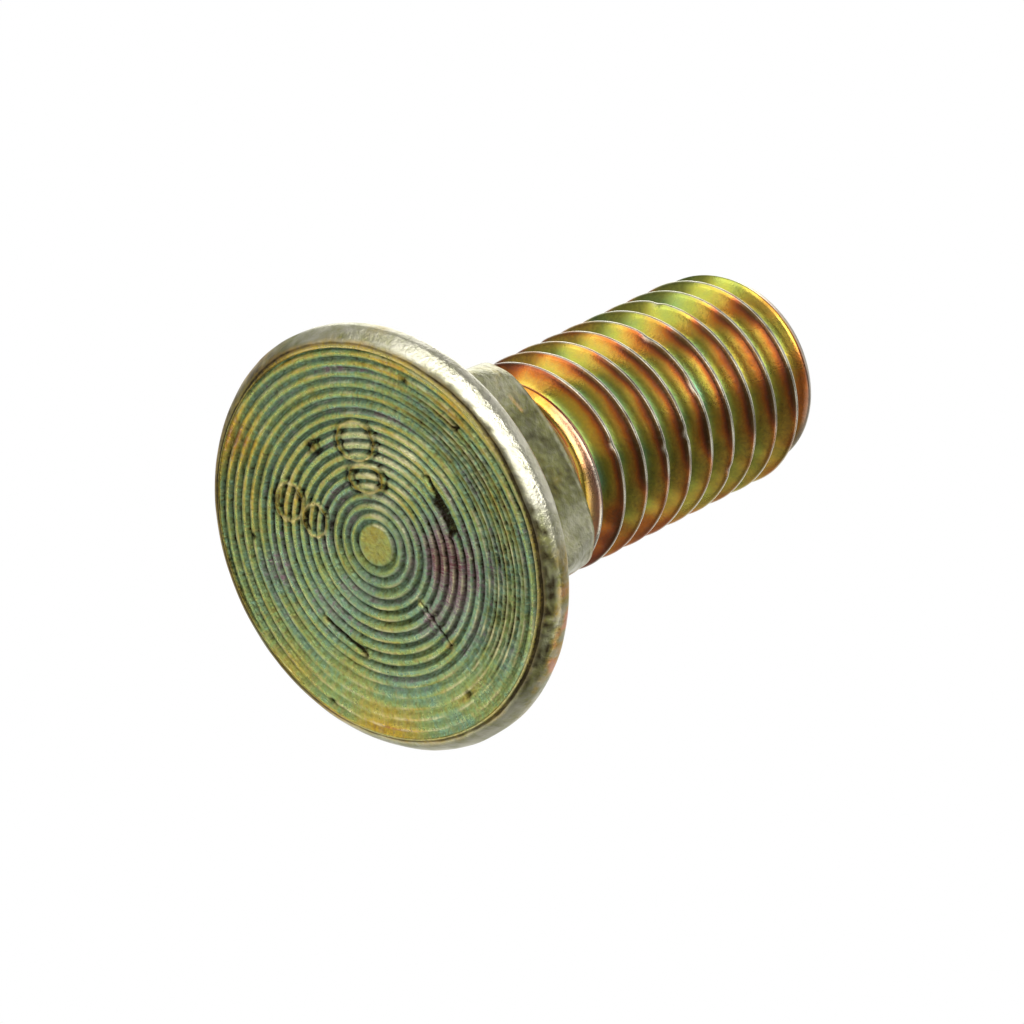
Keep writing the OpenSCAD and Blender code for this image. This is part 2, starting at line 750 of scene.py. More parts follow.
        # The rings: a wave that is 1 in a groove, torn on the busy side and with fine rings between them
        ring = (radius * self.stretch(azimuth) - self.disc_r) / self.ring_pitch
        wave = np.cos(2 * np.pi * ring)
        across = ring - np.floor(ring)
        in_rings = self.first_ring.at(ring)
        busy = self.busy.at(azimuth)
        top = self.top.at(azimuth)
        low = self.low.at(azimuth)
        outer = self.outer_rings.at(radius) * (0.4 + 0.6 * busy)
        faint = 1.0 - 0.65 * self.faint_rings.at(radius) * self.faint.at(azimuth)
        tears = self.along_rings(self.tears, self.tears_r, self.tears_step, azimuth, ring)
        jagged = wave + (0.22 + 0.40 * busy * outer) * tears
        groove = smooth(jagged, 0.10 + 0.4 * outer, 0.85 + 0.1 * outer) * in_rings
        line = smooth(jagged, 0.30 + 0.3 * outer, 0.95) * in_rings
        fine = self.fine_ring.at(-wave) * outer * (0.15 + 0.85 * busy)
        ridge = self.ridge.at(-wave)
        brow = bell(across - self.brow_place, self.brow_width) * in_rings
        crown = bell(across - self.crown_place, self.crown_width) * in_rings

        # The height, cut into the land and never past the plane that the bolt stands on
        uneven = 0.85 + 0.5 * self.uneven.at(flat)
        z = self.land_z + self.ring_depth * uneven * faint * (groove * (1 - 0.35 * outer) + 0.55 * fine)
        z = z * (1 - 0.85 * lift) + self.moat_depth * moat
        z = z * (1 - 0.8 * lip) * (1 - press) + self.dent_depth * press + self.pit_depth * pit
        z = np.maximum(z + self.ripple_depth * self.ripple.at(flat) * in_rings, 0.0)

        # The film, gold on the brows and the numeral and thin in the grooves
        gilt = np.clip(0.25 + 1.4 * self.gilt.at(flat), 0, 1)
        tones = self.along_rings(self.tones, self.tones_r, self.tones_step, azimuth, ring)
        ground = self.film(flat, radius)
        film = ground + 0.22 * gilt * brow + 0.10 * inside + 0.08 * grit + 0.14 * tones * in_rings
        film = film + 0.18 * (ridge - 0.45) * self.tinted.at(ground) * in_rings * faint * (1 - 0.6 * low)
        film = toward(film, self.groove_film, 0.6 * line * top)
        film = np.maximum(film, np.minimum(ground, self.groove_film))
        film = toward(film, self.raised_film, np.maximum(lift, 0.8 * tips))

        # Wear and painted highlights: worn brows that carry painted highlights, a painted glint on the
        # crowns in one sector, painted highlights on the numeral's lines and the dents' ends, and lighter
        # ring sides in the busy stretch
        glint = self.glint.at(azimuth) * self.glint_rings.at(radius)
        wear = 0.7 * brow * bright + 0.45 * pale + 0.3 * inside * (1 - groove) * top + 0.3 * tips
        wear = wear + 1.1 * glint * crown * (0.4 + 0.9 * bright) * (1 - lift)
        wear = wear + 0.4 * bell(wave, self.side_width) * outer * busy * (0.5 + bright)

        # Soil and painted shade: painted shade in the grooves and the valleys between ridges, grit, painted
        # shade on the numeral's sides and in its moat and dents, and dark pits
        broken = np.clip(1.0 + 0.5 * self.broken.at(flat), 0.45, 1)
        dull = bell(span(flat, spot(*self.dull_spot)), self.dull_reach) * in_rings
        shade = line * faint * (1 - 0.1 * outer) * (1 - 0.4 * top) * (1 - 0.3 * low) * (1 - 0.6 * lift)
        soil = (shade + (0.5 + 0.45 * busy) * fine) * broken + 0.24 * grit
        soil = soil + 0.32 * (1 - ridge) * (1 - line) * in_rings * faint + 0.5 * (lift - pale)
        soil = soil + 0.65 * moat + 0.95 * press + pit
        soil = soil + 0.24 * (1 - in_rings) + 0.2 * dull + 0.2 * inside * (1 - top)
        return polar(radius, azimuth, z), film, wear, np.clip(soil, 0, 1)

    def film(self, flat: np.ndarray, radius: np.ndarray) -> np.ndarray:
        """Thickness of the chromate film: sage green over most of the face, with fields of other colours."""
        film = self.base_film + 0.10 * self.clouds.at(flat)
        for patch in self.patches:
            film = toward(film, patch.film, bell(span(flat, spot(patch.azimuth, patch.radius)), patch.reach))
        return toward(film, self.disc_film, 1 - smooth(radius, self.disc_r - self.disc_blend, self.disc_r))

    def build(self, skin: Skin) -> np.ndarray:
        """Adds the face to the skin.

        Args:
            skin: The skin to add to.

        Returns:
            The ring of points at the face's edge.
        """
        azimuth = self.azimuths()
        sparse = azimuth[::2]
        middle = skin.add(*self.surface(np.zeros(1), np.zeros(1)))
        edge = skin.add(*self.surface(np.full(self.columns, self.edge_r), azimuth))
        inner = [reach for reach in self.reaches() if reach < self.inner_r]
        last = skin.add(*self.surface(inner[0] / self.stretch(sparse), sparse))
        skin.fan(last, int(middle[0]), Zone.FACE)
        for reach in inner[1:]:
            ring = skin.add(*self.surface(reach / self.stretch(sparse), sparse))
            skin.bridge(last, ring, Zone.FACE)
            last = ring
        columns: list[list[tuple[float, int]]] = [[] for _ in range(self.columns)]
        for row, reach in enumerate(self.reaches()[len(inner) :]):
            radius = reach / self.stretch(azimuth)
            inside = np.flatnonzero(radius < self.edge_r - self.edge_clear)
            numbers = skin.add(*self.surface(radius[inside], azimuth[inside]))
            for column, number in zip(inside, numbers):
                columns[column].append((row, int(number)))
        for column, number in zip(columns, edge):
            column.append((math.inf, int(number)))
        for i in range(self.columns):
            skin.zip(columns[i], columns[(i + 1) % self.columns], Zone.FACE)
        skin.bridge(np.array([column[0][1] for column in columns]), last, Zone.FACE)
        return edge


@dataclass(frozen=True)
class EdgeRow:
    """One row of points round the edge of the face.

    Args:
        reach: Distance outside the face's edge in millimetres.
        turned: How far it follows the rim's rounding, from 0 to 1.
        deep: Share of the groove's depth.
        soil: Soil on it, from 0 to 1.
        wear: Wear on it, from 0 to 1.
        zone: Finish of the faces up to it.
    """

    reach: float
    turned: float
    deep: float
    soil: float
    wear: float
    zone: Zone


@dataclass
class RimAndNeck:
    """The head's burred edge and rounded rim, the cone behind it and the square neck.

    Sizes are in millimetres and angles in degrees. Sectors, ramps and grains say where the finish changes.
    The rim's start, out and up, is in shares of the face's rounding.
    """

    head_r: float
    thread_r: float
    columns: int = 224
    face_round: float = 0.65
    rim_land: float = 0.25
    back_round: float = 0.3
    cone_half: float = 45.0
    half_flats: float = 3.9
    neck_len: float = 1.7
    corner_r: float = 4.9
    corner_lean: float = 12.0
    end_fall: float = 28.0
    corner_blend: float = 0.3
    end_blend: float = 0.15
    cone_blend: float = 0.25
    blank_blend: float = 0.12
    pitch: float = 1.25
    blank_share: float = 0.65
    blank_len: float = 0.31
    edge_rows: tuple[EdgeRow, ...] = (
        EdgeRow(0.025, 0.0, 0.3, 0.5, 0.0, Zone.FACE),
        EdgeRow(0.06, 0.0, 0.0, 0.0, 0.45, Zone.FACE),
        EdgeRow(0.11, 0.5, 0.6, 0.8, 0.1, Zone.FACE),
        EdgeRow(0.16, 1.0, 1.0, 0.9, 0.1, Zone.FORGED),
        EdgeRow(0.21, 1.0, 0.2, 0.2, 0.3, Zone.FORGED),
    )
    groove_depth: float = 0.14
    groove_reach: float = 0.16
    burr_reach: float = 0.15
    edge_noise_r: float = 3.0
    rim_start: tuple[float, float] = (0.4, 0.085)
    rim_start_turn: float = 24.0
    rim_shares: tuple[float, ...] = (0.25, 0.4, 0.55, 0.7, 0.85, 1.0)
    rim_wear: float = 0.74
    back_turns: tuple[float, ...] = (0.0, 15.0, 30.0, 45.0)
    cone_rows: int = 9
    row_step: float = 0.08
    dent_depth: float = 0.012
    fold_z: float = 6.82
    fold_width: float = 0.05
    scratch: tuple[tuple[float, float], tuple[float, float]] = ((-2.33, 5.20), (-1.74, 5.39))
    scratch_width: Ramp = Ramp(0.11, 0.03)
    scratch_film: float = 0.62
    torn: Sector = Sector(38.0, 80.0, 30.0)
    dark: Sector = Sector(212.0, 76.0, 50.0)
    top: Sector = Sector(305.0, 60.0, 30.0)
    facing: Sector = Sector(VIEW_AZIMUTH + 14.0, 62.0, 42.0)
    # A stretch beside the face, dark with grit and painted shade
    soiled_and_shaded: Sector = Sector(VIEW_AZIMUTH + 36.0, 36.0, 16.0)
    stained: Sector = Sector(VIEW_AZIMUTH + 46.0, 30.0, 10.0)
    # A stretch worn bright and whitened more as a painted highlight
    rubbed: Sector = Sector(VIEW_AZIMUTH - 19.0, 38.0, 26.0)
    folded: Sector = Sector(VIEW_AZIMUTH + 8.0, 45.0, 20.0)
    near_face: Ramp = Ramp(0.60, 0.30)
    at_groove: Ramp = Ramp(0.27, 0.17)
    before_cone: Ramp = Ramp(0.9, 0.6)
    on_cone: Ramp = Ramp(2.6, 1.2)
    on_end: Ramp = Ramp(-0.25, -0.05)
    on_blank: Ramp = Ramp(0.05, 0.35)
    on_corner: Ramp = Ramp(0.70, 0.95)
    wander: Grain = Grain(0.7)
    tears: Grain = Grain(0.2)
    dents: Grain = Grain(0.8)
    rim_wear_grain: Grain = Grain(0.35)
    rim_stain_grain: Grain = Grain(0.5, 1.0)
    rim_film_grain: Grain = Grain(1.3, 3.0)
    rim_soil_grain: Grain = Grain(0.25, 7.0)
    rim_line_grain: Grain = Grain(0.22, 12.0)
    rim_dark_grain: Grain = Grain(0.4, 15.0)
    neck_film_grain: Grain = Grain(1.1)
    neck_soil_grain: Grain = Grain(0.2, 2.0)
    neck_cloud_grain: Grain = Grain(0.9, 4.0)
    neck_wear_grain: Grain = Grain(0.3, 5.0)

    @property
    def rim_h(self) -> float:
        """Height at which the rim's side would meet the cone."""
        return self.face_round + self.rim_land + self.back_round * math.tan(math.radians(self.cone_half / 2))

    @property
    def edge_r(self) -> float:
        """Radius of the face's edge, where the rim's rounding starts."""
        return self.head_r - self.face_round

    @property
    def blank_r(self) -> float:
        """Radius of the plain blank that the thread is rolled on."""
        return self.thread_r - self.blank_share * self.pitch / 2

    @property
    def fall(self) -> float:
        """Drop of the neck's end for each millimetre from the axis."""
        return math.tan(math.radians(self.end_fall))

    @property
    def flat_end_z(self) -> float:
        """Height of the end of a flat, along its middle."""
        cone = (self.head_r - self.half_flats) / math.tan(math.radians(self.cone_half))
        return self.rim_h + cone + self.neck_len

    @property
    def end_z(self) -> float:
        """Height at which the thread's run-out starts."""
        return self.flat_end_z + (self.half_flats - self.blank_r) * self.fall + self.blank_len

    def azimuths(self) -> np.ndarray:
        """Azimuths of the columns."""
        return np.arange(self.columns) * 360.0 / self.columns

    def radius(self, azimuth: np.ndarray, z: float) -> np.ndarray:
        """Radius of the cone and the neck.

        Args:
            azimuth: Azimuths in degrees.
            z: Height in millimetres.

        Returns:
            The radius at each azimuth, in millimetres.
        """
        angle = np.radians(azimuth)
        flats = self.half_flats / np.maximum(np.abs(np.cos(angle)), np.abs(np.sin(angle)))
        corner_end = self.flat_end_z - (self.corner_r - self.half_flats) * self.fall
        corners = self.corner_r + (corner_end - z) * math.tan(math.radians(self.corner_lean))
        sides = soft_min(flats, corners, self.corner_blend)
        neck = soft_min(sides, self.half_flats + (self.flat_end_z - z) / self.fall, self.end_blend)
        cone = self.head_r - (z - self.rim_h) * math.tan(math.radians(self.cone_half))
        return soft_max(soft_max(neck, cone, self.cone_blend), self.blank_r, self.blank_blend)

    def build_edge(self, skin: Skin, last: np.ndarray, azimuth: np.ndarray) -> np.ndarray:
        """Adds the burr round the face and the groove outside it, which is torn wider on one side.

        Args:
            skin: The skin to add to.
            last: The ring of points at the face's edge.
            azimuth: Azimuths of the face's columns.

        Returns:
            The ring of points where the rim starts.
        """
        circle = polar(np.full_like(azimuth, self.edge_noise_r), azimuth, np.zeros_like(azimuth))
        wander = self.wander.at(circle)
        tears = self.tears.at(circle)
        torn = self.torn.at(azimuth)
        dark = self.dark.at(azimuth)
        top = self.top.at(azimuth)
        facing = self.facing.at(azimuth)
        depth = self.groove_depth * (0.25 + 0.75 * torn) * (0.8 + 0.6 * wander)
        film = 0.50 + 0.15 * wander + 0.04 * top
        for row in self.edge_rows:
            jag = min(row.reach / self.groove_reach, 1.0) * (0.03 * wander + 0.02 * tears)
            radius = self.edge_r + row.reach * (0.7 + 0.6 * torn + 0.5 * top) + jag
            rounding = self.face_round * (1 - np.sqrt(1 - ((radius - self.edge_r) / self.face_round) ** 2))
            places = polar(radius, azimuth, row.turned * rounding + row.deep * depth)
            soil = row.soil * (0.8 + 0.2 * torn) * (0.9 + 0.5 * tears) + 0.5 * row.turned * facing
            soil = soil * (1 - 0.7 * top * (row.reach < self.burr_reach)) + 0.4 * dark * (1 + wander)
            ring = skin.add(places, film, row.wear * (1 - 0.7 * dark), np.clip(soil, 0, 1))
            skin.bridge(last, ring, row.zone)
            last = ring
        return last

    def rim_profile(self) -> list[tuple[float, float]]:
        """Radius and height of the rim's rows, from the groove to the cone."""
        start = np.array((self.edge_r, 0.0)) + np.array(self.rim_start) * self.face_round
        end = np.array((self.head_r, self.face_round))
        rows = []
        for share in self.rim_shares:
            t = math.radians(toward(self.rim_start_turn, 90.0, share))
            out, up = self.face_round * math.sin(t), self.face_round * (1 - math.cos(t))
            turned = np.array((self.edge_r + out, up))
            rows.append(tuple(toward(turned, toward(start, end, share), self.rim_wear)))
        rows.append((self.head_r, self.face_round + self.rim_land / 2))
        for t in np.radians(self.back_turns):
            inwards, up = self.back_round * (1 - math.cos(t)), self.back_round * math.sin(t)
            rows.append((self.head_r - inwards, self.face_round + self.rim_land + up))
        return rows

    def rim_finish(self, places: np.ndarray, azimuth: np.ndarray) -> tuple[np.ndarray, ...]:
        """Film, wear and soil on the rim, worn bright on one stretch and whitened there with a painted
        highlight, and dark on a stretch beside the face with grit and painted shade.
        """
        z = places[:, 2]
        near_face = self.near_face.at(z)
        rubbed = self.rubbed.at(azimuth)
        soiled_and_shaded = self.soiled_and_shaded.at(azimuth) * near_face
        stained = self.stained.at(azimuth) * (1 - near_face)
        stained = stained * np.clip(0.6 + 1.5 * self.rim_stain_grain.at(places), 0, 1)
        line = self.at_groove.at(z) * self.facing.at(azimuth)
        dark = self.dark.at(azimuth) * self.before_cone.at(z)
        film = 0.36 + 0.15 * self.rim_film_grain.at(places) + 0.42 * stained + 0.18 * dark
        wear = 0.45 + 0.4 * rubbed + 0.5 * self.rim_wear_grain.at(places)
        wear = wear - 0.6 * soiled_and_shaded - 0.45 * stained - 0.3 * line - 0.5 * dark
        soil = 0.03 + 0.14 * near_face * (1 - rubbed)
        soil = soil + 0.9 * soiled_and_shaded * (0.5 + 1.2 * self.rim_soil_grain.at(places))
        soil = soil + line * (0.3 + 0.9 * self.rim_line_grain.at(places))
        soil = soil + dark * (0.38 + 0.5 * self.rim_dark_grain.at(places))
        return film, np.clip(wear, 0, 1), np.clip(soil, 0, 1)

    def neck_finish(
        self, places: np.ndarray, azimuth: np.ndarray, radius: np.ndarray
    ) -> tuple[np.ndarray, ...]:
        """Film, wear and soil on the cone and the neck, whose corners and end are rubbed bright."""
        z = places[:, 2]
        falling = self.on_end.at(z - self.flat_end_z - (self.half_flats - radius) * self.fall)
        blank = self.on_blank.at(z - self.flat_end_z)
        cone = self.on_cone.at(z - self.rim_h)
        corners = self.on_corner.at(np.abs(np.sin(2 * np.radians(azimuth)))) * (1 - falling) * (1 - cone)
        brink = 4 * falling * (1 - falling) * (1 - blank)
        _, away = beside_line(places[:, 1:], *np.array(self.scratch))
        scratch = self.scratch_width.at(away) * (places[:, 0] > 0)
        fold = bell(z - self.fold_z, self.fold_width) * self.folded.at(azimuth)
        film = 0.38 + 0.12 * self.neck_film_grain.at(places) + 0.06 * falling + 0.22 * blank
        film = toward(film, self.scratch_film, scratch)
        wear = 0.35 * corners + 0.35 * brink + 0.1 * cone + 0.2 * self.neck_wear_grain.at(places)
        soil = 0.36 + 0.5 * self.neck_soil_grain.at(places) + 0.4 * self.neck_cloud_grain.at(places)
        soil = soil - 0.35 * corners - 0.25 * brink - 0.1 * falling - 0.1 * cone
        soil = np.clip(soil, 0, 1) * (1 - scratch) * (1 - blank) + 0.9 * fold
        return film, np.clip(np.maximum(wear, 0.3 * scratch), 0, 1), np.clip(soil, 0, 1)

    def build(self, skin: Skin, face: np.ndarray, face_azimuth: np.ndarray) -> np.ndarray:
        """Adds the rim, cone and neck to the skin.

        Args:
            skin: The skin to add to.
            face: The ring of points at the face's edge.
            face_azimuth: Azimuths of the face's columns.

        Returns:
            The ring of points where the thread's run-out starts.
        """
        last = self.build_edge(skin, face, face_azimuth)
        azimuth = self.azimuths()
        level = np.ones_like(azimuth)
        for radius, z in self.rim_profile():
            places = polar(radius * level, azimuth, z * level)
            dent = self.dent_depth * (self.dents.at(places) - 1.0)
            places = polar(radius + dent, azimuth, z * level)
            ring = skin.add(places, *self.rim_finish(places, azimuth))
            skin.bridge(last, ring, Zone.FORGED)
            last = ring
        start = self.rim_profile()[-1][1]
        cone_end = self.rim_h + self.head_r - math.sqrt(2) * self.half_flats
        cone_rows = np.linspace(start, cone_end, self.cone_rows + 2)[1:-1]
        neck_rows = np.arange(cone_end, self.end_z - self.row_step / 2, self.row_step)
        for z in (*cone_rows, *neck_rows, self.end_z):
            radius = self.radius(azimuth, float(z))
            places = polar(radius, azimuth, z * level)
            ring = skin.add(places, *self.neck_finish(places, azimuth, radius))
            skin.bridge(last, ring, Zone.FORGED)
            last = ring
        return last


@dataclass
class RolledThread:
    """The rolled thread, from its run-out at the neck to the tip.

    Sizes are in millimetres. Ramps and bands named for a side are in degrees round from the azimuth of the
    photograph's camera. Those named for a flank or crest are shares of the thread's height. Those named for
    a stretch are heights: the early one from the run-out's start, the bevel's from the taper's start, the
    brim's from the last row and the others from the face. A nick is degrees round from the camera's azimuth,
    the turn that it lies on and a width in degrees. The tip's shares are the first and last row of its end,
    as shares of its flat radius, and the number of rows.
    """

    crest_r: float
    blank_r: float
    start_z: float
    length: float
    pitch: float = 1.25
    crest_z: float = 7.472
    crest_azimuth: float = VIEW_AZIMUTH
    crest_share: float = 0.07
    crest_blend: float = 0.045
    depth: float = 0.76
    flank: float = 60.0
    root_blend: float = 0.3
    runout: float = 0.9
    runout_lead: float = 0.05
    runout_film: float = 0.42
    tip_len: float = 0.8
    tip_round: float = 0.2
    tip_turns: tuple[float, ...] = (30.0, 60.0, 90.0)
    tip_shares: tuple[float, float, int] = (0.9, 0.15, 6)
    tip_dish: float = 0.09
    tip_dished: Ramp = Ramp(1.0, 0.3)
    tip_rough: float = 0.02
    tip_middle: float = 0.1
    tip_film: float = 0.42
    tip_wear: float = 0.25
    row_clear: float = 0.03
    rows: tuple[float, ...] = (
        0.02, 0.06, 0.10, 0.17, 0.28, 0.39, 0.50,
        0.61, 0.72, 0.81, 0.875, 0.90, 0.94, 0.98,
    )
    glance_film: tuple[tuple[float, float], ...] = (
        (-85.0, 0.16),
        (-65.0, 0.22),
        (-55.0, 0.33),
        (-45.0, 0.44),
        (-38.0, 0.52),
        (-30.0, 0.64),
    )
    glance_turn: float = 5.0
    bevel_film: tuple[tuple[float, float], ...] = (
        (-60.0, 0.25),
        (-35.0, 0.30),
        (-20.0, 0.45),
        (0.0, 0.46),
        (20.0, 0.58),
    )
    nick_depth: float = 0.05
    nick_share: float = 0.12
    nicks: tuple[tuple[float, float, float], ...] = (
        (-2.0, 5.0, 5.0),
        (7.0, 1.0, 3.0),
        (21.0, 3.0, 2.5),
        (19.0, 4.0, 2.5),
        (-38.0, 5.0, 4.0),
        (-60.0, 7.0, 3.0),
        (52.0, 6.0, 3.0),
        (120.0, 2.0, 4.0),
        (185.0, 5.0, 5.0),
        (230.0, 8.0, 4.0),
        (262.0, 3.0, 4.0),
    )
    upper_side: Ramp = Ramp(-30.0, -46.0)
    upper_limit_side: Ramp = Ramp(-105.0, -85.0)
    upper_edge_side: Band = Band(-105.0, -85.0, -72.0, -57.0)
    upper_glow_side: Ramp = Ramp(-56.0, -66.0)
    bright_side: Ramp = Ramp(-32.0, -12.0)
    shaded_side: Band = Band(6.0, 18.0, 60.0, 76.0)
    lower_side: Band = Band(26.0, 44.0, 60.0, 76.0)
    under_side: Ramp = Ramp(46.0, 60.0)
    limb_side: Band = Band(54.0, 68.0, 95.0, 115.0)
    far_side: Ramp = Ramp(95.0, 125.0)
    # Where painted light falls on the middle near the tip
    painted_light_sector: Sector = Sector(VIEW_AZIMUTH - 2.0, 24.0, 10.0)
    head_sector: Sector = Sector(VIEW_AZIMUTH + 8.0, 50.0, 25.0)
    # A stripe of painted shade on the later turns
    stripe_azimuth: float = VIEW_AZIMUTH - 26.0
    stripe_width: float = 8.0
    early_stretch: Ramp = Ramp(1.1, 0.3)
    lower_glow_stretch: Ramp = Ramp(10.0, 8.0)
    upper_glow_stretch: Ramp = Ramp(10.5, 8.5)
    limb_stretch: Ramp = Ramp(9.0, 18.0)
    head_stretch: Ramp = Ramp(15.0, 10.5)
    late_stretch: Ramp = Ramp(11.5, 16.5)
    stripe_stretch: Ramp = Ramp(11.5, 15.0)
    shaded_stretch: Ramp = Ramp(14.0, 17.0)
    painted_light_stretch: Ramp = Ramp(15.0, 17.0)
    last_stretch: Ramp = Ramp(17.6, 18.6)
    bevel_stretch: Ramp = Ramp(-0.1, 0.2)
    brim_stretch: Ramp = Ramp(-0.2, -0.02)
    root_flank: Ramp = Ramp(0.25, 0.0)
    stripe_flank: Ramp = Ramp(0.2, 0.6)
    early_flank: Ramp = Ramp(0.4, 0.9)
    high_flank: Ramp = Ramp(0.75, 0.95)
    below_crest: Ramp = Ramp(0.95, 0.8)
    rubbed_crest: Ramp = Ramp(0.965, 0.995)
    formed: Ramp = Ramp(0.5, 0.95)
    most_soil_and_shade: float = 0.66
    film_grain: Grain = Grain(1.9)
    soil_grain: Grain = Grain(2.2, 6.0)
    wear_grain: Grain = Grain(0.6, 8.0)
    tip_rough_grain: Grain = Grain(0.7)
    tip_soil_grain: Grain = Grain(1.0)
    tip_film_grain: Grain = Grain(1.5, 2.0)
    tip_wear_grain: Grain = Grain(0.9, 4.0)

    @property
    def end_z(self) -> float:
        """Height of the last row before the rounded edge of the tip."""
        return self.length - self.tip_round

    @property
    def taper_z(self) -> float:
        """Height at which the crests start to taper."""
        return self.length - self.tip_len

    def lead(self, azimuth: np.ndarray) -> np.ndarray:
        """Share of a turn from the azimuth at which the crests are counted."""
        return ((azimuth - self.crest_azimuth) % 360.0) / 360.0

    def limit(self, z: np.ndarray) -> np.ndarray:
        """Radius of the crests, which taper at the tip."""
        taper = (self.crest_r - self.blank_r) / self.tip_len
        return np.minimum(self.crest_r, self.crest_r - (z - self.taper_z) * taper)

    def nicked(self, azimuth: np.ndarray, z: np.ndarray) -> np.ndarray:
        """The small dents in the crests, from 0 to 1."""
        nick = np.zeros_like(z)
        for nick_azimuth, turn, width in self.nicks:
            round_gap = turn_gap(azimuth, VIEW_AZIMUTH + nick_azimuth)
            along_gap = z - self.crest_z - self.pitch * (turn + nick_azimuth / 360.0)
            nick = np.maximum(nick, bell(round_gap, width) * bell(along_gap, self.nick_share * self.pitch))
        return nick

    def surface(self, azimuth: np.ndarray, z: np.ndarray) -> tuple[np.ndarray, ...]:
        """The thread's shape and finish.

        Args:
            azimuth: Azimuths in degrees.
            z: Heights in millimetres.

        Returns:
            Places, film, wear and soil.
        """
        turn = (z - self.crest_z) / self.pitch - self.lead(azimuth)
        off = np.abs(turn - np.round(turn))
        fall = np.maximum(soft_max(off - self.crest_share, 0.0, 2 * self.crest_blend), 0.0)
        fall = np.where(off < self.crest_share - self.crest_blend, 0.0, fall)
        slope = fall * self.pitch * math.tan(math.radians(self.flank))
        drop = np.maximum(soft_min(slope, self.depth, self.root_blend), 0.0)
        full = smooth(z, self.start_z - self.runout_lead, self.start_z + self.runout)
        full = full * (1 - 0.65 * smooth(z, self.taper_z, self.length))
        radius = self.blank_r + (self.crest_r - drop - self.blank_r) * full
        radius = np.minimum(radius - self.nick_depth * self.nicked(azimuth, z), self.limit(z))
        places = polar(radius, azimuth, z)
        height = np.clip(1 - drop / self.depth, 0, 1)
        rubbed = np.maximum(self.rubbed_crest.at(height), 0.55 * self.nicked(azimuth, z) ** 2)
        film = self.film(places, azimuth, height)
        return places, film, *self.wear_glints_soil_and_shade(places, azimuth, height, full, rubbed)

    def film(self, places: np.ndarray, azimuth: np.ndarray, height: np.ndarray) -> np.ndarray:
        """Thickness of the chromate film, which grows up the flanks and changes round the thread.

        Args:
            places: Places on the thread in millimetres.
            azimuth: Azimuths in degrees.
            height: Height up the flank, from 0 at the root to 1 at the crest.

        Returns:
            The thickness at each place.
        """
        z = places[:, 2]
        around = turn_gap(azimuth, VIEW_AZIMUTH)
        late = self.late_stretch.at(z)
        glancing = around - self.glance_turn * late
        film = 0.03 + 0.71 * height + 0.2 * self.high_flank.at(height)

        # The upper side, whose flanks the photograph shows at a glancing angle
        # The film here paints light and shade by side: lime and yellow as painted light further up, brown as
        # painted shade nearer the middle
        upper = self.upper_side.at(glancing) * self.upper_limit_side.at(around)
        glance = np.interp(glancing, *np.transpose(self.glance_film)) + (0.14 - 0.08 * late) * (height - 0.4)
        glance = np.maximum(glance + 0.03 - 0.16 * late, 0.25 * late)
        glance = glance + 0.3 * self.upper_glow_stretch.at(z) * self.upper_glow_side.at(around)
        film = toward(film, glance, (0.8 + 0.15 * late) * upper)

        # The lower side, its edge, lightened as a painted reflection, and the far side
        lower_film = 0.18 + 0.20 * height + 0.3 * self.lower_glow_stretch.at(z)
        film = toward(film, lower_film, 0.75 * self.lower_side.at(around))
        limb_film = 0.50 - 0.26 * self.limb_stretch.at(z) + 0.08 * height
        film = toward(film, limb_film, 0.85 * self.limb_side.at(around))
        film = toward(film, 0.28 + 0.28 * height, 0.65 * self.far_side.at(np.abs(around)))
        film = film + 0.12 * self.last_stretch.at(z) * (1 - height)

        # Painted light on the middle near the tip, then the tip's bevel and the run-out
        painted_light = self.painted_light_stretch.at(z) * self.painted_light_sector.at(azimuth) * self.below_crest.at(height)
        film = toward(film, 0.10 + 0.60 * height, painted_light)
        bevel_film = np.interp(around, *np.transpose(self.bevel_film))
        film = toward(film, bevel_film, 0.7 * self.bevel_stretch.at(z - self.taper_z))
        film = film + 0.16 * self.film_grain.at(places)
        return toward(film, self.runout_film, 0.8 * self.early_stretch.at(z - self.start_z))

    def wear_glints_soil_and_shade(
        self,
        places: np.ndarray,
        azimuth: np.ndarray,
        height: np.ndarray,
        full: np.ndarray,
        rubbed: np.ndarray,
    ) -> tuple[np.ndarray, ...]:
        """Wear and soil, with painted light and shade: the crests are rubbed, a painted highlight lies on
        the run-out's bright side, the roots are darker, and painted shade lies on the shaded and lower
        sides, the upper edge, a stripe and the middle near the head, less where painted light falls near the
        tip.

        Args:
            places: Places on the thread in millimetres.
            azimuth: Azimuths in degrees.
            height: Height up the flank, from 0 at the root to 1 at the crest.
            full: How far the thread is formed, from 0 to 1.
            rubbed: How far crests and nicks are rubbed, from 0 to 1.

        Returns:
            Wear, with painted highlights, and soil, with painted shade.
        """
        z = places[:, 2]
        around = turn_gap(azimuth, VIEW_AZIMUTH)
        early = self.early_stretch.at(z - self.start_z)
        brim = self.brim_stretch.at(z - self.end_z)
        wear = rubbed * np.clip(0.75 + 0.7 * self.wear_grain.at(places), 0.2, 1) * self.formed.at(full)
        # A painted highlight on the run-out's flanks on the bright side
        wear = wear + 0.3 * early * self.early_flank.at(height) * self.bright_side.at(around)

